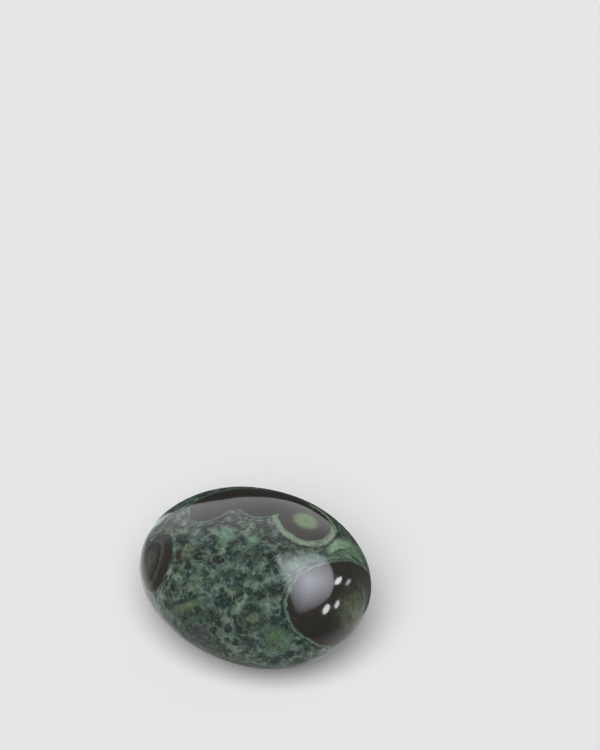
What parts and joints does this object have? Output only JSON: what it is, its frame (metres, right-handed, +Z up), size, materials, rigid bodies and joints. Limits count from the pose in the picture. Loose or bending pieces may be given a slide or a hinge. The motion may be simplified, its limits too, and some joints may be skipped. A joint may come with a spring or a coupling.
{
  "type": "polished kambaba jasper pebble",
  "caption": "Tumbled and polished egg-shaped pebble of dark green orbicular stone, lying on a small flat spot on its underside.",
  "frame": {"origin": "in the plane of the small flat that the stone rests on, below the middle of its length and width", "axes": "+X along the stone's length, +Y along its width, +Z up and along its height, the shortest way through it"},
  "size_m": [0.0522, 0.0428, 0.0313],
  "materials": {
    "jasper": "high polish, mottled green and near black with ringed orbs"
  },
  "bodies": {
    "root": {"stone": "jasper"}
  },
  "joints": []
}
